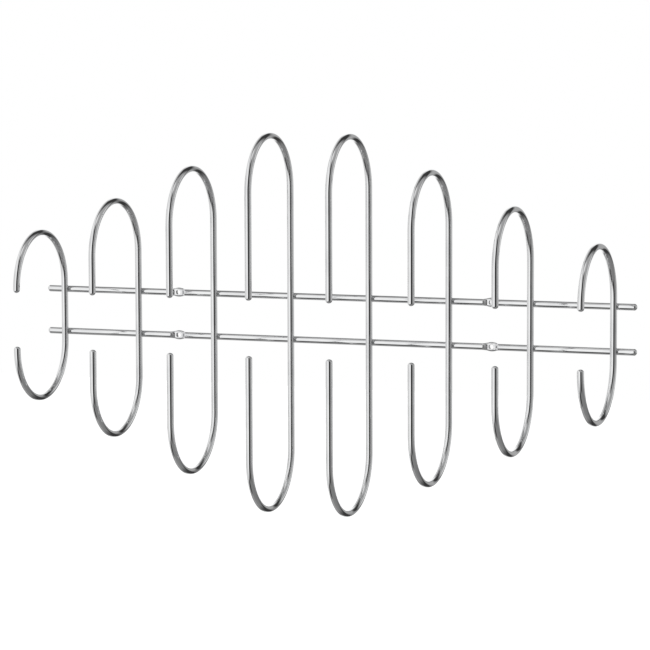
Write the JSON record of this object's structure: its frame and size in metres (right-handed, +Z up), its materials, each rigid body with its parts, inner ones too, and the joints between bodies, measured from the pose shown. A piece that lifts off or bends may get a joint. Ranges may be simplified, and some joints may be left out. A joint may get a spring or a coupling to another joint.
{
  "type": "wall hook rack",
  "caption": "Chromed wire wall rack: upright C-shaped loops, open at the front and tallest in the middle, are welded across slim horizontal rails with screw eyelets.",
  "frame": {"origin": "on the wall plane, midway between the four screw holes and on the middle of the rack", "axes": "+X along the rails, to the right as seen from the room; +Y into the wall; +Z up"},
  "size_m": [0.564, 0.1077, 0.336],
  "materials": {
    "rail_chrome": "bright chrome plate over drawn steel wire",
    "hook_chrome": "bright chrome plate over bent steel wire",
    "weld_chrome": "chrome plate over slightly rough weld metal"
  },
  "bodies": {
    "root": {"upper_rail_left": "rail_chrome", "upper_rail_middle": "rail_chrome", "upper_rail_right": "rail_chrome", "lower_rail_left": "rail_chrome", "lower_rail_middle": "rail_chrome", "lower_rail_right": "rail_chrome", "upper_eyelet_left": "rail_chrome", "upper_eyelet_right": "rail_chrome", "lower_eyelet_left": "rail_chrome", "lower_eyelet_right": "rail_chrome", "hook_1": "hook_chrome", "hook_2": "hook_chrome", "hook_3": "hook_chrome", "hook_4": "hook_chrome", "hook_5": "hook_chrome", "hook_6": "hook_chrome", "hook_7": "hook_chrome", "hook_8": "hook_chrome", "weld_upper_1": "weld_chrome", "weld_upper_2": "weld_chrome", "weld_upper_3": "weld_chrome", "weld_upper_4": "weld_chrome", "weld_upper_5": "weld_chrome", "weld_upper_6": "weld_chrome", "weld_upper_7": "weld_chrome", "weld_upper_8": "weld_chrome", "weld_lower_1": "weld_chrome", "weld_lower_2": "weld_chrome", "weld_lower_3": "weld_chrome", "weld_lower_4": "weld_chrome", "weld_lower_5": "weld_chrome", "weld_lower_6": "weld_chrome", "weld_lower_7": "weld_chrome", "weld_lower_8": "weld_chrome"}
  },
  "joints": []
}
